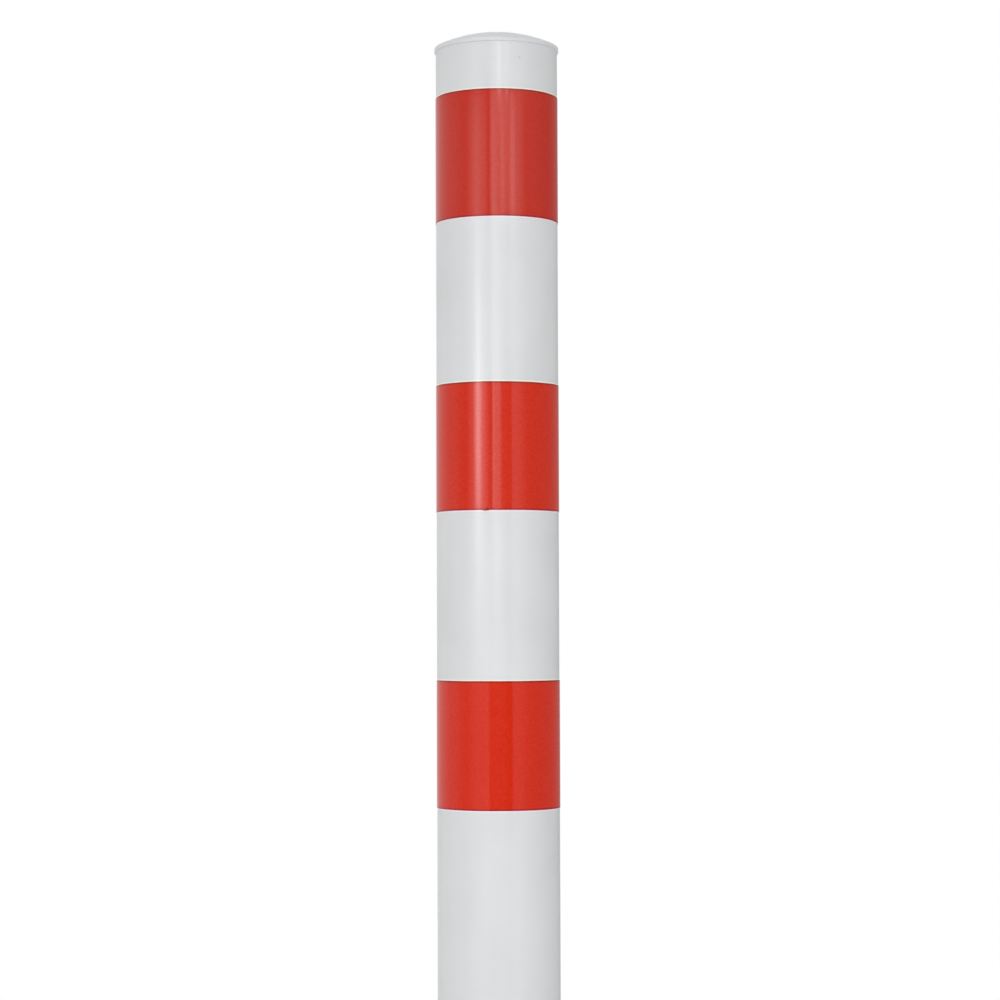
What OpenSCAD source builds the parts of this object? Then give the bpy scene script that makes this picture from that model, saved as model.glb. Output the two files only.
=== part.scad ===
// Fixed barrier post: a round steel tube with a domed plastic cap, three red film bands
// and a loose anchor rod pushed through the foot.
// Millimetres, +Z up. The origin is the centre of the tube's foot and the rod lies along X.

/* [Tube] */
// Outer diameter of the tube
tube_d = 76.1; // [60.3:0.1:114.3]
// Wall thickness of the tube
tube_wall = 2.6; // [2:0.1:5]
// Height of the tube above the ground line
height_above_ground = 1000; // [700:10:1200]
// Length of the tube that is set in the ground
depth_in_ground = 500; // [200:10:600]
// Width of the deburred edge at both tube ends
end_break = 0.4; // [0.1:0.1:0.8]

/* [Cap] */
// Height of the flange's straight side
flange_h = 2.5; // [2:0.1:6]
// How far the flange stands out past the tube
flange_overhang = 0.8; // [0.3:0.1:2.5]
// Radius between the flange's side and the dome
rim_round = 0.8; // [0.4:0.1:1.6]
// Height of the dome above the flange's side, up to the crown
dome_h = 9; // [6:0.5:20]
// Wall thickness under the dome
dome_wall = 2.5; // [1.5:0.1:3.5]
// Depth of the plug below the flange
plug_depth = 26; // [20:1:50]
// Wall thickness of the plug
plug_wall = 2; // [1.2:0.1:3]
// Height of the snug collar under the flange
collar_h = 3; // [2:0.5:6]
// Gap between the collar and the tube's bore
collar_clearance = 0.2; // [0.05:0.05:0.5]
// Number of gripping fins round the plug
fin_count = 4; // [2:1:5]
// How far each fin reaches out from the plug's wall
fin_reach = 2.2; // [1:0.1:3]
// Thickness of a fin where it leaves the plug
fin_root = 1.2; // [0.8:0.1:2]
// Thickness of a fin at its tip
fin_tip = 0.5; // [0.3:0.1:0.8]
// How far a fin's tip is bent up towards the flange
fin_rise = 1; // [0:0.1:1.5]
// Gap between a fin's tip and the tube's bore
fin_clearance = 0.05; // [0.02:0.01:0.2]
// Number of stiffening ribs under the dome
rib_count = 6; // [3:1:8]
// Thickness of a stiffening rib
rib_t = 1.6; // [1:0.1:3]

/* [Red bands] */
// White tube left showing above the upper band
top_margin = 29.5; // [10:0.5:80]
// Height of a band
band_h = 78.5; // [50:0.5:100]
// White tube left showing between the upper and middle bands
upper_gap = 101.5; // [50:0.5:120]
// White tube left showing between the middle and lower bands
lower_gap = 104; // [50:0.5:120]
// Thickness of the film
film_t = 0.2; // [0.1:0.05:0.5]
// Thickness of the adhesive between the film and the tube
adhesive_t = 0.05; // [0.02:0.01:0.1]
// Width of the film's overlap at the back of the post
overlap_w = 12; // [5:1:30]

/* [Anchor rod] */
// Diameter of the rod
rod_d = 9; // [6:0.5:16]
// How far the rod stands out of the tube on each side
rod_standout = 15; // [10:1:60]
// Height of the rod's axis above the foot
rod_height = 36.5; // [20:0.5:120]
// Gap between the rod and its cross holes, all round
rod_clearance = 0.3; // [0.1:0.05:0.8]
// Chamfer at the rod's ends
rod_chamfer = 0.6; // [0.3:0.1:1.5]
// Width of a punch mark near the rod's end
punch_d = 2.6; // [1.5:0.1:3]
// Depth of a punch mark
punch_depth = 0.4; // [0.2:0.05:0.6]
// Distance from the rod's end to the middle of the first punch mark
punch_from_end = 1.8; // [1.6:0.1:4]
// Distance between the two punch marks
punch_pitch = 4.4; // [3.2:0.1:6]
// How far the punch marks sit above the rod's front, as an angle
punch_lift = 20; // [0:5:60]

/* [Hidden] */
$fn = 96;

// How far a cutting shape runs past the face that it cuts
cut_over = 1;
// How far a shape reaches into the one that it joins
root = 0.3;

tube_r = tube_d / 2;
bore_r = tube_r - tube_wall;
tube_len = height_above_ground + depth_in_ground;

flange_r = tube_r + flange_overhang;
flange_top = tube_len + flange_h;
dome_r = (flange_r * flange_r + dome_h * dome_h) / (2 * dome_h);
dome_centre = flange_top + dome_h - dome_r;
// The rim's rounding touches the flange's side and the dome
rim_r = flange_r - rim_round;
rim_z = dome_centre + sqrt(pow(dome_r - rim_round, 2) - pow(rim_r, 2));
rim_angle = atan2(rim_z - dome_centre, rim_r);

plug_r = bore_r - fin_clearance - fin_reach;
plug_bore_r = plug_r - plug_wall;
plug_foot = tube_len - plug_depth;
fin_pitch = (plug_depth - collar_h) / (fin_count + 0.5);

upper_band_top = tube_len - top_margin;
middle_band_top = upper_band_top - band_h - upper_gap;
lower_band_top = middle_band_top - band_h - lower_gap;
film_r = tube_r + adhesive_t;

rod_len = tube_d + 2 * rod_standout;
rod_hole_d = rod_d + 2 * rod_clearance;
// Sphere whose cap is punch_d wide and punch_depth deep
punch_r = (punch_d * punch_d / 4 + punch_depth * punch_depth) / (2 * punch_depth);

// Outline of a plain tube end to end, with broken edges, to be turned round the axis
module tube_section() {
  polygon([
    [bore_r + end_break, 0],
    [tube_r - end_break, 0],
    [tube_r, end_break],
    [tube_r, tube_len - end_break],
    [tube_r - end_break, tube_len],
    [bore_r + end_break, tube_len],
    [bore_r, tube_len - end_break],
    [bore_r, end_break]
  ]);
}

// The steel tube, drilled across the foot for the anchor rod
module post_tube() {
  color("whitesmoke")
    difference() {
      rotate_extrude() tube_section();
      translate([0, 0, rod_height])
        rotate([0, 90, 0])
          cylinder(d = rod_hole_d, h = tube_d + 2 * cut_over, center = true);
    }
}

// Outer half section of the flange and dome, with the rim's rounding cut away
module crown_section() {
  difference() {
    intersection() {
      translate([0, dome_centre]) circle(r = dome_r);
      translate([0, tube_len]) square([flange_r, flange_h + dome_h + cut_over]);
    }
    rim_waste();
  }
}

// The corner outside the rim's rounding, between its two touching points
module rim_waste() {
  far = rim_round + 2 * cut_over;
  difference() {
    polygon([
      [rim_r, rim_z],
      [rim_r + far, rim_z],
      [rim_r + far, rim_z + far],
      [rim_r + far * cos(rim_angle), rim_z + far * sin(rim_angle)]
    ]);
    translate([rim_r, rim_z]) circle(r = rim_round);
  }
}

// Half section of one fin, thinner at its tip and bent up towards the flange
module fin_section() {
  polygon([
    [plug_r - root, 0],
    [plug_r, 0],
    [plug_r + fin_reach, fin_rise],
    [plug_r + fin_reach, fin_rise + fin_tip],
    [plug_r, fin_root],
    [plug_r - root, fin_root]
  ]);
}

// Ribs that meet at the axis and brace the dome against the plug's wall
module stiffening_ribs() {
  intersection() {
    translate([0, 0, dome_centre]) sphere(r = dome_r - dome_wall + root);
    for (i = [0 : rib_count - 1])
      rotate([0, 0, i * 360 / rib_count])
        translate([0, -rib_t / 2, tube_len - plug_depth / 2])
          cube([plug_bore_r + root, rib_t, plug_depth / 2 + flange_h + dome_h]);
  }
}

// The plastic cap: domed flange on top, hollow plug with gripping fins inside the tube
module post_cap() {
  color("white") {
    difference() {
      union() {
        rotate_extrude() crown_section();
        translate([0, 0, plug_foot]) cylinder(r = plug_r, h = plug_depth + root);
        translate([0, 0, tube_len - collar_h])
          cylinder(r = bore_r - collar_clearance, h = collar_h + root);
        for (i = [0 : fin_count - 1])
          translate([0, 0, plug_foot + fin_root + i * fin_pitch])
            rotate_extrude() fin_section();
      }
      intersection() {
        translate([0, 0, dome_centre]) sphere(r = dome_r - dome_wall);
        translate([0, 0, plug_foot - cut_over])
          cylinder(r = plug_bore_r, h = plug_depth + flange_h + dome_h + 2 * cut_over);
      }
    }
    stiffening_ribs();
  }
}

// One red film band, wrapped round the tube and lapped over its own end at the back
module film_band(top) {
  lap_angle = overlap_w / film_r * 180 / PI;
  // The lap starts half-way into the film that it lies on
  lap_root = film_t / 2;
  color("red")
    translate([0, 0, top - band_h])
      difference() {
        union() {
          cylinder(r = film_r + film_t, h = band_h);
          rotate([0, 0, 90 - lap_angle / 2])
            rotate_extrude(angle = lap_angle)
              translate([film_r + lap_root, 0]) square([2 * film_t - lap_root, band_h]);
        }
        translate([0, 0, -cut_over]) cylinder(r = film_r, h = band_h + 2 * cut_over);
      }
}

module upper_band() {
  film_band(upper_band_top);
}

module middle_band() {
  film_band(middle_band_top);
}

module lower_band() {
  film_band(lower_band_top);
}

// Two shallow punch marks near one end of the rod, on its front
module punch_marks() {
  for (i = [0 : 1])
    translate([rod_len / 2 - punch_from_end - i * punch_pitch, 0, 0])
      rotate([-punch_lift, 0, 0])
        translate([0, -(rod_d / 2 + punch_r - punch_depth), 0])
          sphere(r = punch_r);
}

// The anchor rod: a length of round bar, loose in the tube's two cross holes
module anchor_rod() {
  straight = rod_len - 2 * rod_chamfer;
  color("dimgray")
    translate([0, 0, rod_height])
      difference() {
        rotate([0, 90, 0]) {
          cylinder(d = rod_d, h = straight, center = true);
          for (side = [0, 1])
            mirror([0, 0, side])
              translate([0, 0, straight / 2])
                cylinder(d1 = rod_d, d2 = rod_d - 2 * rod_chamfer, h = rod_chamfer);
        }
        punch_marks();
      }
}

post_tube();
post_cap();
upper_band();
middle_band();
lower_band();
anchor_rod();
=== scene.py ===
"""The looks of a barrier post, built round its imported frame.

Metres, +Z up, the origin at the centre of the tube's foot, the anchor rod along X. The coated tube,
the three red films and the rod are meshes made here, and the plastic cap is the frame's own solid.
"""

import math

import bpy
from mathutils import Matrix, Vector, noise


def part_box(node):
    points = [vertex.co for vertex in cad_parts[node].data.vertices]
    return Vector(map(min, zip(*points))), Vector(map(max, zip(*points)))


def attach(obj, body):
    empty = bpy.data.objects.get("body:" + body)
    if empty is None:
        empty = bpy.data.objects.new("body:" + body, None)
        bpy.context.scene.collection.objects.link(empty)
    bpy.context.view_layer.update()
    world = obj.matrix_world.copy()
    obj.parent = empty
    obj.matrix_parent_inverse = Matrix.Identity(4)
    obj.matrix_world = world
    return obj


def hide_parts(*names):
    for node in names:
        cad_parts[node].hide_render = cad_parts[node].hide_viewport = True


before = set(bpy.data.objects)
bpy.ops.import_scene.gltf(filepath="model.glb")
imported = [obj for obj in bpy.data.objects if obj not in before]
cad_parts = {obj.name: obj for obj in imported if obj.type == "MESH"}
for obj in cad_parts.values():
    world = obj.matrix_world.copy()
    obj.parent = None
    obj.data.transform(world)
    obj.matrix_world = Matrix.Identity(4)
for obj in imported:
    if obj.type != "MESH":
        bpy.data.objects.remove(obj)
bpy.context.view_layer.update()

MM = 0.001

# Sizes that the frame gives
tube_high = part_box("post_tube")[1]
rod_low, rod_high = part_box("anchor_rod")
TUBE_R = tube_high.x
TUBE_TOP = tube_high.z
ROD_R = (rod_high.z - rod_low.z) / 2
ROD_Z = (rod_high.z + rod_low.z) / 2
ROD_END = rod_high.x

# Sizes that the frame's boxes don't hold
WALL = 2.6 * MM
BORE_R = TUBE_R - WALL
EDGE_ROUND = 0.4 * MM
TOP_ROUND = 0.12 * MM
HOLE_R = ROD_R + 0.3 * MM
ADHESIVE = 0.05 * MM

# The camera stands in front of the post and looks slightly up, as the photograph does
CAMERA_PLACE = Vector((1.423 * MM, -1.712, 1.14105))
CAMERA_PITCH = math.radians(2.632)
CAMERA_ROLL = math.radians(-0.1818)
CAMERA_LENS = 99.18


def make_camera():
    data = bpy.data.cameras.new("camera")
    data.sensor_width = 36
    data.lens = CAMERA_LENS
    camera = bpy.data.objects.new("camera", data)
    bpy.context.scene.collection.objects.link(camera)
    turn = Matrix.Rotation(math.pi / 2 + CAMERA_PITCH, 4, "X")
    roll = Matrix.Rotation(CAMERA_ROLL, 4, "Z")
    camera.matrix_world = Matrix.Translation(CAMERA_PLACE) @ turn @ roll
    bpy.context.scene.camera = camera


def smoothstep(low, high, value):
    share = min(max((value - low) / (high - low), 0), 1)
    return share * share * (3 - 2 * share)


def bell(value, width):
    return math.exp(-((value / width) ** 2))


def angle_between(a, b):
    """The signed angle from b to a, between -pi and pi."""
    return (a - b + math.pi) % (2 * math.pi) - math.pi


def front(angle, height, radius=TUBE_R):
    """A point on the tube, by its angle from the front towards +X and its height."""
    return Vector((radius * math.sin(angle), -radius * math.cos(angle), height))


def steps(start, end, pitch):
    """Values from just past start up to end, evenly spaced and about pitch apart."""
    count = max(1, round((end - start) / pitch))
    return [start + (end - start) * (i + 1) / count for i in range(count)]


def make_piece(name, points, faces, materials, body="root"):
    """A mesh piece with smooth faces that rides on a body.

    A face is its corners and the number of its material."""
    mesh = bpy.data.meshes.new(name)
    mesh.from_pydata(points, [], [corners for corners, _ in faces])
    for material in materials:
        mesh.materials.append(material)
    mesh.polygons.foreach_set("material_index", [number for _, number in faces])
    mesh.shade_smooth()
    mesh.validate()
    piece = bpy.data.objects.new(name, mesh)
    bpy.context.scene.collection.objects.link(piece)
    even = piece.modifiers.new("even_shading", "WEIGHTED_NORMAL")
    even.weight = 100
    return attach(piece, body)


# The tube

COLUMNS = 256
RING_PITCH = 16 * MM
FOOT_RING_PITCH = 0.8 * MM
# Half the width, in columns, of the square that each cross hole is made from, and of the patch round it
HOLE_HALF = 8
PATCH_HALF = 18
HOLE_COLUMNS = (0, COLUMNS // 2)
COAT_ROUND = 0.3 * MM
BURR_ROUND = 0.12 * MM
# The turns at which a rounded edge has its points
BENDS = [math.radians(a) for a in (30, 60, 90)]

DENT_ANGLE = math.radians(20)
DENT_Z = 24 * MM
DENT_HALF = 10 * MM
DENT_DEPTH = 0.6 * MM

# The coat's lip at the foot: how thick it is, where and how wide, and how far its lower edge strays
FAT_EDGE = 0.55 * MM
FAT_EDGE_Z = 0.9 * MM
FAT_EDGE_HALF = 1.1 * MM
RAGGED_EDGE = 0.6 * MM
RAGGED_EDGE_HALF = 0.9 * MM

WELD_ANGLE = math.radians(100)
WELD_HALF = 1.6 * MM
WELD_HEIGHT = 0.45 * MM
WELD_END = TUBE_TOP - 34 * MM
WELD_FADE = 6 * MM

COAT, STEEL = 0, 1

# Grey marks on the foot's coat. Each is its angle from the front in degrees, its height, radius and blur
# in millimetres, and how much of it shows
FOOT_MARKS = ((21.1, 40.3, 1, 5.5, 0.13), (16, 29, 0.8, 6, 0.07), (47, 5, 0.5, 5.5, 0.14))


def ragged(angle):
    """How far the coat's edge stands up from the floor, from 0 to 1, all round the foot."""
    place = Vector((math.cos(angle), math.sin(angle), 0))
    slow = noise.noise(place * 4.3)
    quick = noise.noise(place * 23 + Vector((5, 2, 9)))
    return min(max(0.3 + 0.4 * slow + 0.7 * quick, 0), 1)


def worn(radius, angle, height):
    """Moves a point of the plain tube to where its dent, coat and weld leave it."""
    outside = smoothstep(BORE_R, TUBE_R, radius)
    dent = DENT_DEPTH * bell(angle_between(angle, 0), DENT_ANGLE) * bell(height - DENT_Z, DENT_HALF)
    fat = FAT_EDGE * bell(height - FAT_EDGE_Z, FAT_EDGE_HALF) * outside
    weld_round = bell(angle_between(angle, WELD_ANGLE) * BORE_R, WELD_HALF)
    weld = WELD_HEIGHT * weld_round * (1 - outside) * smoothstep(WELD_END, WELD_END - WELD_FADE, height)
    rise = RAGGED_EDGE * ragged(angle) * bell(height, RAGGED_EDGE_HALF)
    radius += fat - dent - weld
    return Vector((radius * math.cos(angle), radius * math.sin(angle), height + rise))


def patch_place(i, j, radius, hole_r):
    """Place in a hole's patch, as a distance round the wall and a height from the rod's axis.

    Step m of the patch runs from the hole's circle at HOLE_HALF to a square at PATCH_HALF."""
    m = max(abs(i), abs(j))
    quarter = math.pi / 4
    if abs(i) >= abs(j):
        turn = quarter * j / m if i > 0 else math.pi - quarter * j / m
    else:
        turn = math.pi / 2 - quarter * i / m if j > 0 else -math.pi / 2 + quarter * i / m
    share = (m - HOLE_HALF) / (PATCH_HALF - HOLE_HALF)
    pitch = 2 * math.pi * TUBE_R / COLUMNS
    side = PATCH_HALF * pitch
    circle = (radius * math.asin(hole_r * math.cos(turn) / radius), hole_r * math.sin(turn))
    square = (i / m * side * radius / TUBE_R, j / m * side)
    return [c + (s - c) * share for c, s in zip(circle, square)]


def tube_rings():
    """The tube's section as a closed list of rings: each is a radius, a height and a patch row or None."""
    pitch = 2 * math.pi * TUBE_R / COLUMNS
    patch_low = ROD_Z - PATCH_HALF * pitch
    patch_high = ROD_Z + PATCH_HALF * pitch
    top = TUBE_TOP - TOP_ROUND
    heights = [(z, None) for z in [EDGE_ROUND] + steps(EDGE_ROUND, patch_low, FOOT_RING_PITCH)[:-1]]
    heights += [(ROD_Z + j * pitch, j) for j in range(-PATCH_HALF, PATCH_HALF + 1)]
    heights += [(z, None) for z in steps(patch_high, top, RING_PITCH)]
    rings = [(TUBE_R, z, j) for z, j in heights]
    rings += [(TUBE_R - TOP_ROUND * (1 - math.cos(a)), top + TOP_ROUND * math.sin(a), None) for a in BENDS]
    rings += [(BORE_R + TOP_ROUND * (1 - math.sin(a)), top + TOP_ROUND * math.cos(a), None)
              for a in [0] + BENDS[:2]]
    rings += [(BORE_R, z, j) for z, j in reversed(heights)]
    rings += [(BORE_R + EDGE_ROUND * (1 - math.cos(a)), EDGE_ROUND * (1 - math.sin(a)), None) for a in BENDS]
    rings += [(TUBE_R - EDGE_ROUND * (1 - math.sin(a)), EDGE_ROUND * (1 - math.cos(a)), None)
              for a in [0] + BENDS[:2]]
    return rings


def patch_step(column, row):
    """The hole's column, the columns from it and the step of the patch there, or None outside a patch."""
    if row is None:
        return None
    for centre in HOLE_COLUMNS:
        i = (column - centre + COLUMNS // 2) % COLUMNS - COLUMNS // 2
        if abs(i) <= PATCH_HALF:
            return centre, i, max(abs(i), abs(row))
    return None


def tube_point(radius, height, row, column):
    """A point of one of the tube's walls or edges."""
    angle = 2 * math.pi * column / COLUMNS
    found = patch_step(column, row)
    if found and found[2] >= HOLE_HALF:
        centre, i, _ = found
        edge = COAT_ROUND if radius == TUBE_R else BURR_ROUND
        along, up = patch_place(i, row, radius, HOLE_R + edge)
        angle = 2 * math.pi * centre / COLUMNS + along / radius
        height = ROD_Z + up
    return worn(radius, angle, height)


def hole_loop():
    """The columns and rows round a hole's edge, in order."""
    n = HOLE_HALF
    right = [(n, j) for j in range(-n, n)]
    top = [(i, n) for i in range(n, -n, -1)]
    return right + top + [(-i, -j) for i, j in right] + [(-i, -j) for i, j in top]


def hole_point(side, i, j, share, out):
    """A point of a cross hole's wall: share of the way in through the tube, and out from its radius."""
    radius = TUBE_R - WALL * share
    along, up = patch_place(i, j, radius, HOLE_R + out)
    angle = (0 if side > 0 else math.pi) + along / radius
    return worn(radius, angle, ROD_Z + up)


def post_tube_mesh(coat, steel):
    """The tube as one skin: its rings, less the two holes, and the walls of the holes."""
    rings = tube_rings()
    outer = {ring[2]: n for n, ring in enumerate(rings) if ring[0] == TUBE_R and ring[2] is not None}
    inner = {ring[2]: n for n, ring in enumerate(rings) if ring[0] == BORE_R and ring[2] is not None}
    points = [tube_point(*ring, column) for ring in rings for column in range(COLUMNS)]
    faces = []
    for n, (radius, _, row) in enumerate(rings):
        after = (n + 1) % len(rings)
        next_row = rings[after][2]
        inside = radius == BORE_R and rings[after][0] == BORE_R
        for column in range(COLUMNS):
            beside = (column + 1) % COLUMNS
            found = patch_step(column, row), patch_step(beside, next_row)
            if all(f and f[2] <= HOLE_HALF for f in found):
                continue
            here, there = n * COLUMNS, after * COLUMNS
            corners = [here + column, here + beside, there + beside, there + column]
            faces.append((corners, STEEL if inside else COAT))
    coat_steps = [(COAT_ROUND / WALL * (1 - math.cos(a)), COAT_ROUND * (1 - math.sin(a))) for a in BENDS]
    burr_steps = [(1 - BURR_ROUND / WALL * (1 - math.cos(a)), BURR_ROUND * (1 - math.sin(a)))
                  for a in reversed(BENDS)]
    for centre in HOLE_COLUMNS:
        side = 1 if centre == 0 else -1
        loop = hole_loop()
        loops = [[outer[j] * COLUMNS + (centre + i) % COLUMNS for i, j in loop]]
        for share, out in coat_steps + burr_steps:
            loops.append(list(range(len(points), len(points) + len(loop))))
            points += [hole_point(side, i, j, share, out) for i, j in loop]
        loops.append([inner[j] * COLUMNS + (centre + i) % COLUMNS for i, j in loop])
        for number, (a, b) in enumerate(zip(loops, loops[1:])):
            for k in range(len(loop)):
                after = (k + 1) % len(loop)
                material = COAT if number < len(coat_steps) else STEEL
                faces.append(([a[k], b[k], b[after], a[after]], material))
    tube = make_piece("coated_tube", points, faces, [coat, steel])
    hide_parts("post_tube")


# The red films

FILM_NODES = ("upper_band", "middle_band", "lower_band")
FILM_STEPS = 400
LAP_STEPS = 20
FILM_ROW_PITCH = 6 * MM
FILM_T = 0.2 * MM
LAP = 12 * MM
RAMP = 1.5 * MM
FILM_ROUND = 0.04 * MM
# How far a film's cut edges stray, slowly and quickly, and how far into the film that reaches
SLOW_STRAY = 0.12 * MM
QUICK_STRAY = 0.03 * MM
STRAY_REACH = 5 * MM
# The middle film's bottom edge is pulled down a little at one place, with small painted shadow marks by it.
# A mark is its angle from the front in degrees, its height over the edge and its radius in millimetres, its
# share and its colour
NICK_ANGLE = math.radians(-11.2)
NICK_HALF = 1.5 * MM
NICK_DEPTH = 0.4 * MM
NICK_MARKS = ((-13.0, 1.4, 0.5, 0.6, (150, 78, 60)), (-9.6, 0.3, 0.5, 0.8, (120, 14, 24)))
# How far the painted shade lines reach in from a film's cut edges, and the painted highlight lines on the
# coat out from them
FILM_EDGE_SHADE = 1.3 * MM
FILM_EDGE_HIGHLIGHT = 1.2 * MM


def film_edge_shift(angle, seed):
    """How far a film's cut edge strays up or down, because it was cut and laid by hand."""
    place = Vector((math.cos(angle), math.sin(angle), seed))
    return SLOW_STRAY * noise.noise(place * 1.7) + QUICK_STRAY * noise.noise(place * 14)


def film_mesh(name, node, seed, material, nicked=False):
    """A film wrapped once round the tube, which climbs on to its own start and ends on it, at the back."""
    low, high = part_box(node)
    inner_r = TUBE_R + ADHESIVE
    lap = LAP / inner_r
    start = math.pi / 2 - lap / 2
    ramp = RAMP / inner_r
    bottom, top = low.z, high.z
    rows = [bottom, bottom + FILM_ROUND]
    rows += steps(bottom + FILM_ROUND, top - FILM_ROUND, FILM_ROW_PITCH) + [top]
    turns = [2 * math.pi * n / FILM_STEPS for n in range(FILM_STEPS)]
    turns += [2 * math.pi + lap * n / LAP_STEPS for n in range(LAP_STEPS + 1)]
    points = []
    for turn in turns:
        angle = start + turn
        climb = FILM_T * smoothstep(2 * math.pi - ramp, 2 * math.pi, turn)
        radius = inner_r + climb
        from_front = angle_between(angle, -math.pi / 2)
        for z in rows:
            near_low = smoothstep(bottom + STRAY_REACH, bottom, z)
            near_high = smoothstep(top - STRAY_REACH, top, z)
            shift = near_low * film_edge_shift(angle, seed) + near_high * film_edge_shift(angle, seed + 7)
            if nicked:
                off = angle_between(from_front, NICK_ANGLE) * inner_r
                shift -= NICK_DEPTH * near_low * bell(off, NICK_HALF)
            edge = z in (bottom, top)
            outer = radius + FILM_T - (FILM_ROUND if edge else 0)
            for r in (radius, outer):
                points.append(Vector((r * math.cos(angle), r * math.sin(angle), z + shift)))
    faces = []
    per_turn = 2 * len(rows)
    last_row = len(rows) - 1
    for t in range(len(turns) - 1):
        a, b = t * per_turn, (t + 1) * per_turn
        for r in range(last_row):
            i, k = 2 * r, 2 * r + 2
            faces.append(([a + i, a + k, b + k, b + i], 0))
            faces.append(([a + i + 1, b + i + 1, b + k + 1, a + k + 1], 0))
        faces.append(([a, b, b + 1, a + 1], 0))
        i = 2 * last_row
        faces.append(([a + i, a + i + 1, b + i + 1, b + i], 0))
    last = (len(turns) - 1) * per_turn
    for r in range(last_row):
        i, k = 2 * r, 2 * r + 2
        faces.append(([i, i + 1, k + 1, k], 0))
        faces.append(([last + i, last + k, last + k + 1, last + i + 1], 0))
    film = make_piece(name, points, faces, [material])
    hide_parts(node)


# The anchor rod

ROD_COLUMNS = 96
ROD_CHAMFER = 0.6 * MM
# How far the rod's closer rings and its closest ones reach in from its ends, and their pitches
CLOSE_REACH = 15 * MM
CLOSEST_REACH = 10 * MM
FAR_PITCH = 2.5 * MM
CLOSE_PITCH = 0.6 * MM
CLOSEST_PITCH = 0.2 * MM
# Sheared ends are never quite round: how far in from the end and how deep
SHEAR_REACH = 1.6 * MM
SHEAR_DEPTH = 0.12 * MM
PUNCH_PLACES = (1.8 * MM, 6.2 * MM)
PUNCH_LIFT = math.radians(20)
PUNCH_R = 1.3 * MM
PUNCH_DEPTH = 0.4 * MM
# The ridge that a punch pushes up round its mark
RIDGE_R = 1.12 * PUNCH_R
RIDGE_HALF = 0.28 * MM
RIDGE_HEIGHT = 0.06 * MM


def rod_mesh(material):
    """The rod as rings along X, with broken ends and two punch marks pressed into its front."""
    start, close_to = -ROD_END + ROD_CHAMFER, -ROD_END + CLOSE_REACH
    closest_from, finish = ROD_END - CLOSEST_REACH, ROD_END - ROD_CHAMFER
    places = [start] + steps(start, close_to, CLOSE_PITCH) + steps(close_to, closest_from, FAR_PITCH)
    stations = [(x, ROD_R) for x in places + steps(closest_from, finish, CLOSEST_PITCH)]
    # The rings past the chamfer's start, each its distance from the end and how far it draws in
    ends = [(ROD_CHAMFER * 0.5, ROD_CHAMFER * 0.42), (0.06 * MM, ROD_CHAMFER * 0.9), (0, ROD_CHAMFER * 1.15),
            (0, ROD_R * 0.35), (0, ROD_R * 0.7)]
    for back, inset in ends:
        stations.insert(0, (-ROD_END + back, ROD_R - inset))
        stations.append((ROD_END - back, ROD_R - inset))
    points = []
    sphere_r = (PUNCH_R ** 2 + PUNCH_DEPTH ** 2) / (2 * PUNCH_DEPTH)
    for x, radius in stations:
        for c in range(ROD_COLUMNS):
            # The angle runs from the front up over the top
            angle = 2 * math.pi * c / ROD_COLUMNS
            r = radius
            near_end = smoothstep(ROD_END - SHEAR_REACH, ROD_END, abs(x))
            place = Vector((x / MM * 0.3, math.cos(angle) * 1.5, math.sin(angle) * 1.5))
            r -= near_end * SHEAR_DEPTH * (0.5 + 0.5 * noise.noise(place * 1.3))
            if radius == ROD_R:
                for inset in PUNCH_PLACES:
                    across = angle_between(angle, PUNCH_LIFT) * ROD_R
                    off = math.hypot(x - (ROD_END - inset), across)
                    if off < PUNCH_R * 1.6:
                        hollow = math.sqrt(max(sphere_r ** 2 - off ** 2, 0)) - (sphere_r - PUNCH_DEPTH)
                        ridge = RIDGE_HEIGHT * bell(off - RIDGE_R, RIDGE_HALF)
                        r += ridge - max(hollow, 0)
            points.append(Vector((x, -r * math.cos(angle), ROD_Z + r * math.sin(angle))))
    faces = []
    for s in range(len(stations) - 1):
        for c in range(ROD_COLUMNS):
            beside = (c + 1) % ROD_COLUMNS
            a, b = s * ROD_COLUMNS, (s + 1) * ROD_COLUMNS
            faces.append(([a + c, a + beside, b + beside, b + c], 0))
    for first, x, flip in ((0, -ROD_END, False), ((len(stations) - 1) * ROD_COLUMNS, ROD_END, True)):
        centre = len(points)
        points.append(Vector((x, 0, ROD_Z)))
        for c in range(ROD_COLUMNS):
            corners = [centre, first + (c + 1) % ROD_COLUMNS, first + c]
            faces.append((corners[::-1] if flip else corners, 0))
    rod = make_piece("rusty_anchor_rod", points, faces, [material])
    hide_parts("anchor_rod")


# Materials


def linear(red, green, blue):
    """A colour given as it shows on a screen, from 0 to 255, as the shader wants it."""
    def one(value):
        value /= 255
        return value / 12.92 if value <= 0.04045 else ((value + 0.055) / 1.055) ** 2.4
    return one(red), one(green), one(blue), 1.0


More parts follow.
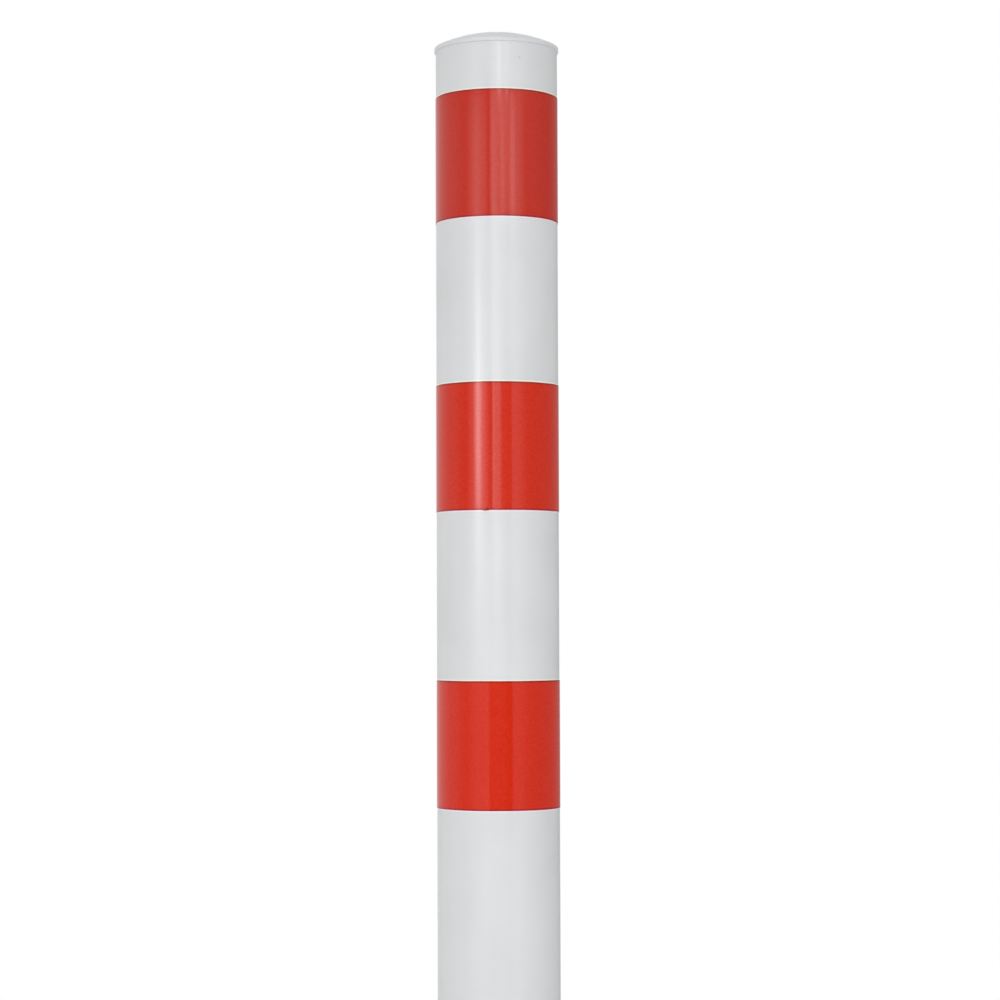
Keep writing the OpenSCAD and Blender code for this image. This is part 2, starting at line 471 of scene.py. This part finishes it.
class Finish:
    """A material's nodes, with a short call for each kind used here."""

    def __init__(self, name):
        self.material = bpy.data.materials.new(name)
        self.material.use_nodes = True
        self.tree = self.material.node_tree
        self.surface = self.tree.nodes["Principled BSDF"]
        self.place = self.node("ShaderNodeTexCoord").outputs["Object"]

    def node(self, kind, **settings):
        made = self.tree.nodes.new(kind)
        for name, value in settings.items():
            setattr(made, name, value)
        return made

    def put(self, value, socket):
        if isinstance(value, bpy.types.NodeSocket):
            self.tree.links.new(value, socket)
        else:
            socket.default_value = value

    def sum(self, operation, *values):
        made = self.node("ShaderNodeMath", operation=operation)
        for value, socket in zip(values, made.inputs):
            self.put(value, socket)
        return made.outputs[0]

    def stretched(self, x, y, z):
        made = self.node("ShaderNodeVectorMath", operation="MULTIPLY")
        self.put(self.place, made.inputs[0])
        made.inputs[1].default_value = (x, y, z)
        return made.outputs[0]

    def noise(self, size, detail=2.0, place=None, rough=0.5):
        """Noise whose features are about size metres wide, from 0 to 1."""
        made = self.node("ShaderNodeTexNoise")
        self.put(place or self.place, made.inputs["Vector"])
        made.inputs["Scale"].default_value = 1 / size
        made.inputs["Detail"].default_value = detail
        made.inputs["Roughness"].default_value = rough
        return made.outputs[0]

    def ramp(self, value, low, high, out_low=0.0, out_high=1.0):
        """Turns low to high into out_low to out_high, smoothly and no further."""
        made = self.node("ShaderNodeMapRange", interpolation_type="SMOOTHSTEP")
        for number, item in enumerate((value, low, high, out_low, out_high)):
            self.put(item, made.inputs[number])
        return made.outputs[0]

    def spot(self, centre, radius, soft):
        """1 within radius of a point, falling to 0 over soft."""
        made = self.node("ShaderNodeVectorMath", operation="DISTANCE")
        self.put(self.place, made.inputs[0])
        made.inputs[1].default_value = centre
        return self.ramp(made.outputs["Value"], radius, radius + soft, 1.0, 0.0)

    def axis(self, name):
        made = self.node("ShaderNodeSeparateXYZ")
        self.put(self.place, made.inputs[0])
        return made.outputs[name]

    def mix(self, share, a, b):
        made = self.node("ShaderNodeMix", data_type="RGBA")
        self.put(share, made.inputs["Factor"])
        self.put(a, made.inputs[6])
        self.put(b, made.inputs[7])
        return made.outputs[2]

    def bump(self, height, distance, under=None):
        """A bump of height 0 to 1 times distance, over another bump."""
        made = self.node("ShaderNodeBump")
        made.inputs["Strength"].default_value = 1.0
        made.inputs["Distance"].default_value = distance
        self.put(height, made.inputs["Height"])
        if under:
            self.put(under, made.inputs["Normal"])
        return made.outputs[0]

    def set(self, **values):
        for name, value in values.items():
            self.put(value, self.surface.inputs[name.replace("_", " ")])


def near_film_edges(finish, reach):
    """For the films' top edges and for their bottom ones: 1 at the edge's height, and 0 at reach from it."""
    height = finish.axis("Z")
    found = []
    for top in (True, False):
        near = 0.0
        for node in FILM_NODES:
            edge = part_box(node)[top].z
            off = finish.sum("ABSOLUTE", finish.sum("SUBTRACT", height, edge))
            near = finish.sum("MAXIMUM", near, finish.ramp(off, reach * 0.5, reach, 1.0, 0.0))
        found.append(near)
    return found


def white_coat():
    """Glossy powder coat with orange peel, more matte and scuffed at the foot."""
    coat = Finish("white_coat")
    height = coat.axis("Z")
    low = coat.ramp(height, 0.12, 0.3, 1.0, 0.0)
    cloud = coat.ramp(coat.noise(0.05, 3.0), 0.35, 0.7)
    colour = coat.mix(cloud, linear(223, 224, 224), linear(219, 220, 220))
    colour = coat.mix(coat.ramp(height, 0.0, 0.11, 1.0, 0.0), colour, linear(234, 235, 237))
    blotches = coat.ramp(coat.noise(6 * MM, 4.0), 0.5, 0.7)
    smudge = coat.sum("MULTIPLY", blotches, coat.sum("MULTIPLY", low, 0.12))
    colour = coat.mix(smudge, colour, linear(200, 203, 204))
    specks = coat.ramp(coat.noise(1.4 * MM, 3.0), 0.4, 0.65)
    grain = coat.sum("MULTIPLY", specks, coat.sum("MULTIPLY", low, 0.11))
    colour = coat.mix(grain, colour, linear(198, 198, 202))
    for angle, z, radius, soft, share in FOOT_MARKS:
        grey = coat.spot(front(math.radians(angle), z * MM), radius * MM, soft * MM)
        colour = coat.mix(coat.sum("MULTIPLY", grey, share), colour, linear(160, 163, 166))
    scuff = coat.spot(front(math.radians(54.9), 5.6 * MM), 0.4 * MM, 3.2 * MM)
    scuff = coat.sum("MULTIPLY", scuff, coat.ramp(coat.noise(2.4 * MM, 3.0), 0.3, 0.6, 0.1, 0.55))
    colour = coat.mix(scuff, colour, linear(253, 253, 254))
    speck = coat.spot(front(math.radians(22), 1490 * MM), 0.25 * MM, 0.6 * MM)
    colour = coat.mix(coat.sum("MULTIPLY", speck, 0.35), colour, linear(170, 140, 110))
    # Painted highlight lines on the coat beside the films' edges: cream above each film's top edge and pink
    # below its bottom edge
    above, below = near_film_edges(coat, FILM_EDGE_HIGHLIGHT)
    colour = coat.mix(coat.sum("MULTIPLY", above, 0.85), colour, linear(252, 247, 234))
    colour = coat.mix(coat.sum("MULTIPLY", below, 0.85), colour, linear(252, 234, 241))
    near_top = coat.ramp(height, TUBE_TOP - 34 * MM, TUBE_TOP - 24 * MM)
    sag = coat.sum("MULTIPLY", near_top, coat.noise(7 * MM, 1.0, coat.stretched(1, 1, 0.6)))
    peel = coat.noise(2.2 * MM, 2.0)
    fine = coat.noise(0.5 * MM, 1.0)
    surface = coat.bump(fine, 0.004 * MM, coat.bump(peel, 0.02 * MM, coat.bump(sag, 0.05 * MM)))
    # The matte scuffs start as small dots, which run together further down
    matte = coat.ramp(coat.sum("ADD", low, fine), 0.75, 1.25, 0.16, 0.42)
    coat.set(Base_Color=colour, Roughness=matte, Normal=surface)
    return coat.material


def tube_inside():
    """Bare grey steel inside the tube, with overspray near its foot."""
    steel = Finish("tube_inside")
    height = steel.axis("Z")
    streak = steel.noise(0.004, 4.0, steel.stretched(1, 1, 0.06))
    colour = steel.mix(streak, linear(118, 116, 114), linear(150, 148, 145))
    rust = steel.ramp(steel.noise(0.01, 5.0), 0.55, 0.75)
    colour = steel.mix(steel.sum("MULTIPLY", rust, 0.5), colour, linear(120, 86, 62))
    edge = steel.sum("ADD", height, steel.sum("MULTIPLY", steel.noise(0.006, 4.0), 0.03))
    overspray = steel.ramp(edge, 0.014, 0.05, 1.0, 0.0)
    colour = steel.mix(overspray, colour, linear(214, 218, 220))
    steel.set(Base_Color=colour, Metallic=steel.ramp(overspray, 0.0, 0.6, 0.7, 0.0), Roughness=0.5,
              Normal=steel.bump(steel.noise(0.0015, 3.0), 0.05 * MM))
    return steel.material


def cap_plastic():
    """Satin moulded plastic, a little greyer than the coat."""
    plastic = Finish("cap_plastic")
    cloud = plastic.noise(0.02, 2.0)
    colour = plastic.mix(cloud, linear(217, 218, 220), linear(221, 222, 224))
    plastic.set(Base_Color=colour, Roughness=plastic.ramp(plastic.noise(0.004, 2.0), 0.3, 0.7, 0.4, 0.5),
                Specular_IOR_Level=0.25, Normal=plastic.bump(plastic.noise(0.4 * MM, 2.0), 0.004 * MM))
    return plastic.material


def red_film(name, colour, nicked=False):
    """Glossy adhesive film: faint grain, slow ripples from the tube's coat and painted shade lines at its
    edges.
    """
    film = Finish(name)
    grain = film.noise(1.3 * MM, 3.0)
    slow = film.noise(0.02, 2.0)
    red, green, blue, _ = linear(*colour)
    darker = (red * 0.94, green * 0.76, blue * 0.6, 1.0)
    lighter = (red * 1.02, green * 1.2, blue * 1.4, 1.0)
    tint = film.mix(film.ramp(grain, 0.3, 0.7), lighter, darker)
    tint = film.mix(film.sum("MULTIPLY", film.ramp(slow, 0.35, 0.7), 0.2), tint, darker)
    # Painted shade lines along the film's cut edges: browner at the top edge, more magenta at the bottom
    # edge
    above, below = near_film_edges(film, FILM_EDGE_SHADE)
    share = film.ramp(grain, 0.0, 0.6, 0.3, 0.7)
    tint = film.mix(film.sum("MULTIPLY", above, share), tint, linear(120, 34, 16))
    tint = film.mix(film.sum("MULTIPLY", below, share), tint, linear(132, 14, 40))
    if nicked:
        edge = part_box("middle_band")[0].z
        # Painted shadow of the loosened film at the nick, darkening the red in small spots
        for angle, up, size, amount, mark in NICK_MARKS:
            nick_shadow = film.spot(front(math.radians(angle), edge + up * MM), size * MM, 0.9 * MM)
            tint = film.mix(film.sum("MULTIPLY", nick_shadow, amount), tint, linear(*mark))
    ripple = film.noise(9 * MM, 1.0, film.stretched(1, 1, 0.35))
    peel = film.noise(2.6 * MM, 1.0)
    fine = film.noise(0.7 * MM, 2.0)
    surface = film.bump(fine, 0.002 * MM, film.bump(peel, 0.012 * MM, film.bump(ripple, 0.03 * MM)))
    film.set(Base_Color=tint, Roughness=0.1, Normal=surface)
    return film.material


def bare_steel():
    """Drawn bar: dull steel with fine lines along it, rust at its ends, painted shade in the rust's brown
    where it meets the coat and below its punch marks, and painted highlights in the punch marks.
    """
    steel = Finish("bare_steel_rod")
    lines = steel.noise(0.35 * MM, 3.0, steel.stretched(0.05, 1, 1))
    colour = steel.mix(lines, linear(96, 93, 92), linear(142, 139, 136))
    along = steel.sum("ABSOLUTE", steel.axis("X"))
    patches = steel.noise(1.6 * MM, 4.0)
    ends = steel.ramp(steel.sum("ADD", along, steel.sum("MULTIPLY", patches, 3 * MM)),
                      ROD_END + 0.2 * MM, ROD_END + 2.4 * MM)
    # Painted shade where the rod meets the coat, coloured like the rust
    hole = steel.ramp(steel.sum("SUBTRACT", along, steel.sum("MULTIPLY", patches, 2 * MM)),
                      TUBE_R - 2.4 * MM, TUBE_R, 1.0, 0.0)
    rust = steel.sum("MAXIMUM", ends, hole)
    struck_highlight = 0.0
    for inset in PUNCH_PLACES:
        forward, up = ROD_R * math.cos(PUNCH_LIFT), ROD_R * math.sin(PUNCH_LIFT)
        centre = Vector((ROD_END - inset, -forward, ROD_Z + up))
        # A rust-brown patch below each punch mark, where its shade falls: painted shade in a rust colour
        under = centre + Vector((0.4 * MM, 0, -0.7 * MM))
        shade_stain = steel.sum("MULTIPLY", steel.spot(under, 1.2 * MM, 1.6 * MM), 0.7)
        # Lighter steel inside each punch mark: a painted highlight
        mark = steel.spot(centre, 0.3 * MM, 1.1 * MM)
        struck_highlight = steel.sum("MAXIMUM", struck_highlight, mark)
        rust = steel.sum("MAXIMUM", rust, steel.sum("SUBTRACT", shade_stain, mark))
    rust = steel.sum("MULTIPLY", rust, steel.ramp(patches, 0.3, 0.6, 0.3, 1.0))
    # This brown is real rust at the rod's ends, and painted shade by the coat and below the punch marks
    colour = steel.mix(rust, colour, linear(112, 90, 68))
    # The punch marks' painted highlight, less metallic and rougher there
    colour = steel.mix(steel.sum("MULTIPLY", struck_highlight, 0.75), colour, linear(232, 224, 206))
    dull = steel.sum("MAXIMUM", rust, steel.sum("MULTIPLY", struck_highlight, 0.45))
    steel.set(Base_Color=colour, Metallic=steel.ramp(dull, 0.0, 1.0, 1.0, 0.1),
              Roughness=steel.ramp(dull, 0.0, 1.0, 0.3, 0.75),
              Normal=steel.bump(lines, 0.02 * MM, steel.bump(patches, 0.03 * MM)))
    return steel.material


# The studio

FLOOR_R = 9.0
ROUND_STEPS = 96
FILL_LEVEL = 0.61
WALL_R = 3.0
WALL_LOW = -1.3
WALL_HIGH = 3.5
WALL_REACH = math.radians(165)
WALL_LEVEL = 0.09
# The soft panels that the gloss reflects, as seen from the post. Each is where it starts, the blur there,
# where it ends and the blur there, in degrees from the camera's side towards +X; its lowest and highest
# point and the blur of both; and its brightness, which adds to what lies behind it
PANELS = (
    # The room's sides
    (-200, 1, 200, 1, -2, 0.33, 0.12, 0.6),
    (-200, 1, -76, 14, -2, 4, 0.1, 0.26),
    (-200, 1, -110, 8, -2, 1.72, 0.1, 0.1),
    (-200, 1, -17, 1.5, -2, 4, 0.1, 0.23),
    (-200, 1, -15, 3, 1.78, 2.06, 0.08, 0.2),
    (-75, 10, -15, 3, 1.78, 4, 0.08, 0.1),
    (-17, 1.5, 26.5, 1.2, 1.24, 4, 0.06, 0.19),
    (26.5, 1.2, 200, 1, -2, 4, 0.1, 0.22),
    # The left panel, the strip lamp in it and the two thin strips beside the camera
    (-50, 12, -17, 1.5, -2, 1.72, 0.2, 0.3),
    (-54, 6, -19, 3, 1.2, 1.72, 0.1, 0.5),
    (-43.7, 3, -26, 6.5, 1.3, 1.68, 0.12, 2.2),
    (-39.7, 3, -31.7, 3, 1.3, 1.68, 0.12, 2.8),
    (-8.7, 1.2, -5.2, 1.2, 1.2, 1.78, 0.1, 2.1),
    (-5, 1, 6, 4, 1.2, 1.78, 0.1, 1.3),
    # The right panel
    (26.5, 1.2, 50, 14, -2, 1.72, 0.2, 0.24),
    (26.5, 1.2, 46, 14, 1.2, 1.78, 0.1, 0.36),
    # The ceiling's lights
    (-52, 9, -20, 6, 1.78, 2.06, 0.06, 0.8),
    (-43, 6, -31, 5, 1.78, 2.06, 0.06, 0.5),
    (-12.5, 3, 44, 14, 1.78, 2.06, 0.06, 1.3),
    (-9.5, 1.5, -1, 6, 1.78, 2.06, 0.06, 0.7),
    (7, 1.5, 14.5, 3, 1.78, 2.06, 0.06, 0.75),
    (25, 1.5, 34, 3, 1.78, 2.06, 0.06, 1.0),
    (38, 8, 90, 30, 1.78, 4, 0.08, 0.3),
    (-14, 5, 56, 10, 2.06, 4, 0.06, 0.4),
    (-6.5, 2, 25, 3, 2.06, 2.35, 0.03, 0.6),
    (1.5, 1.5, 8, 1.5, 2.07, 2.35, 0.02, 3.2),
    (17, 1.5, 21, 1.5, 2.07, 2.35, 0.02, 3.0),
    # The long light that the rod's bright line shows, and a wider, weaker one round it
    (-3, 1.5, 9, 2, 2.38, 3.1, 0.08, 14.0),
    (-60, 20, 60, 20, 2.6, 3.3, 0.08, 3.0),
)


def window(finish, value, start, start_blur, end, end_blur):
    """1 between start and end and 0 outside, with blurred edges."""
    rise = finish.ramp(value, start - start_blur, start + start_blur)
    fall = finish.ramp(value, end - end_blur, end + end_blur, 1.0, 0.0)
    return finish.sum("MULTIPLY", rise, fall)


def reflected_wall():
    """A round wall of soft panels in front of the post, which only reflections show."""
    finish = Finish("panels")
    angle = finish.sum("ARCTAN2", finish.axis("X"), finish.sum("MULTIPLY", finish.axis("Y"), -1.0))
    height = finish.axis("Z")
    light = WALL_LEVEL
    for start, start_blur, end, end_blur, low, high, fade, strength in PANELS:
        across = window(finish, angle, *(math.radians(a) for a in (start, start_blur, end, end_blur)))
        up = window(finish, height, low, fade, high, fade)
        panel = finish.sum("MULTIPLY", finish.sum("MULTIPLY", across, up), strength)
        light = finish.sum("ADD", light, panel)
    glow = finish.node("ShaderNodeEmission")
    finish.put(light, glow.inputs["Strength"])
    finish.tree.links.new(glow.outputs[0], finish.tree.nodes["Material Output"].inputs["Surface"])
    finish.tree.nodes.remove(finish.surface)
    turns = [-WALL_REACH + 2 * WALL_REACH * n / ROUND_STEPS for n in range(ROUND_STEPS + 1)]
    points = [front(turn, z, WALL_R) for turn in turns for z in (WALL_LOW, WALL_HIGH)]
    faces = [[2 * n, 2 * n + 1, 2 * n + 3, 2 * n + 2] for n in range(ROUND_STEPS)]
    mesh = bpy.data.meshes.new("panels")
    mesh.from_pydata(points, [], faces)
    mesh.materials.append(finish.material)
    wall = bpy.data.objects.new("panels", mesh)
    bpy.context.scene.collection.objects.link(wall)
    wall.visible_camera = wall.visible_diffuse = wall.visible_transmission = wall.visible_shadow = False


def make_floor():
    """A pale round floor that fades into the white background, open under the bore and clear from below."""
    finish = Finish("floor")
    far = finish.node("ShaderNodeVectorMath", operation="LENGTH")
    finish.put(finish.place, far.inputs[0])
    fade = finish.ramp(far.outputs["Value"], 0.3, 1.2, 0.5, 1.0)
    tree = finish.tree
    white = finish.node("ShaderNodeEmission")
    rays = finish.node("ShaderNodeLightPath")
    seen = finish.sum("MAXIMUM", rays.outputs["Is Camera Ray"], rays.outputs["Is Glossy Ray"])
    blend = finish.node("ShaderNodeMixShader")
    finish.put(finish.sum("MULTIPLY", fade, seen), blend.inputs[0])
    tree.links.new(finish.surface.outputs[0], blend.inputs[1])
    tree.links.new(white.outputs[0], blend.inputs[2])
    side = finish.node("ShaderNodeNewGeometry")
    clear = finish.node("ShaderNodeBsdfTransparent")
    below = finish.node("ShaderNodeMixShader")
    finish.put(side.outputs["Backfacing"], below.inputs[0])
    tree.links.new(blend.outputs[0], below.inputs[1])
    tree.links.new(clear.outputs[0], below.inputs[2])
    tree.links.new(below.outputs[0], tree.nodes["Material Output"].inputs["Surface"])
    finish.set(Base_Color=linear(232, 232, 232), Roughness=0.8)
    turns = [2 * math.pi * n / ROUND_STEPS for n in range(ROUND_STEPS)]
    points = [front(turn, 0, radius) for radius in (BORE_R, FLOOR_R) for turn in turns]
    faces = [[n, ROUND_STEPS + n, ROUND_STEPS + (n + 1) % ROUND_STEPS, (n + 1) % ROUND_STEPS]
             for n in range(ROUND_STEPS)]
    mesh = bpy.data.meshes.new("floor")
    mesh.from_pydata(points, [], faces)
    mesh.materials.append(finish.material)
    floor = bpy.data.objects.new("floor", mesh)
    bpy.context.scene.collection.objects.link(floor)


def make_world():
    """White to the camera and in reflections, and plain soft light on everything."""
    world = bpy.data.worlds.new("world")
    bpy.context.scene.world = world
    world.use_nodes = True
    tree = world.node_tree
    rays = tree.nodes.new("ShaderNodeLightPath")
    seen = tree.nodes.new("ShaderNodeMath")
    seen.operation = "MAXIMUM"
    tree.links.new(rays.outputs["Is Camera Ray"], seen.inputs[0])
    tree.links.new(rays.outputs["Is Glossy Ray"], seen.inputs[1])
    seen_too = tree.nodes.new("ShaderNodeMath")
    seen_too.operation = "MAXIMUM"
    tree.links.new(seen.outputs[0], seen_too.inputs[0])
    tree.links.new(rays.outputs["Is Transmission Ray"], seen_too.inputs[1])
    level = tree.nodes.new("ShaderNodeMapRange")
    tree.links.new(seen_too.outputs[0], level.inputs[0])
    level.inputs[3].default_value = FILL_LEVEL
    level.inputs[4].default_value = 1.0
    tree.links.new(level.outputs[0], tree.nodes["Background"].inputs["Strength"])
    tree.nodes["Background"].inputs["Color"].default_value = (1, 1, 1, 1)


def make_lamp(name, place, target, width, tall, level, colour=(1, 1, 1)):
    """A soft lamp that lights its target to level, and isn't seen itself."""
    place, target = Vector(place), Vector(target)
    data = bpy.data.lights.new(name, "AREA")
    data.shape = "RECTANGLE"
    data.size = width
    data.size_y = tall
    data.energy = level * math.pi ** 2 * (place - target).length_squared
    data.color = colour
    lamp = bpy.data.objects.new(name, data)
    bpy.context.scene.collection.objects.link(lamp)
    lamp.location = place
    lamp.rotation_mode = "QUATERNION"
    lamp.rotation_quaternion = (target - place).to_track_quat("-Z", "Y")
    lamp.visible_camera = lamp.visible_glossy = False


make_camera()
post_tube_mesh(white_coat(), tube_inside())
film_mesh("upper_film", "upper_band", 1, red_film("upper_red", (199, 37, 10)))
film_mesh("middle_film", "middle_band", 2, red_film("middle_red", (213, 42, 12), nicked=True), nicked=True)
film_mesh("lower_film", "lower_band", 3, red_film("lower_red", (215, 42, 12)))
rod_mesh(bare_steel())
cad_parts["post_cap"].material_slots[0].material = cap_plastic()
make_floor()
reflected_wall()
make_world()
make_lamp("key", (-0.084, -1.2, 1.15), (0, 0, 1.15), 0.8, 0.6, 0.41, (0.95, 0.96, 1.0))
make_lamp("low_key", (-0.1, -1.1, 0.15), (0, 0, -0.25), 0.8, 0.6, 0.12, (0.955, 0.955, 1.0))
make_lamp("back_left", (-1.8, 2.14, 1.6), (0, 0, 1.3), 1.8, 1.4, 0.25)
make_lamp("back_right", (1.8, 2.14, 1.6), (0, 0, 1.3), 1.8, 1.4, 0.25)
make_lamp("top", (0, 0, 3.5), (0, 0, 1.5), 1.6, 1.6, 0.16)
bpy.context.scene.view_settings.view_transform = "Standard"
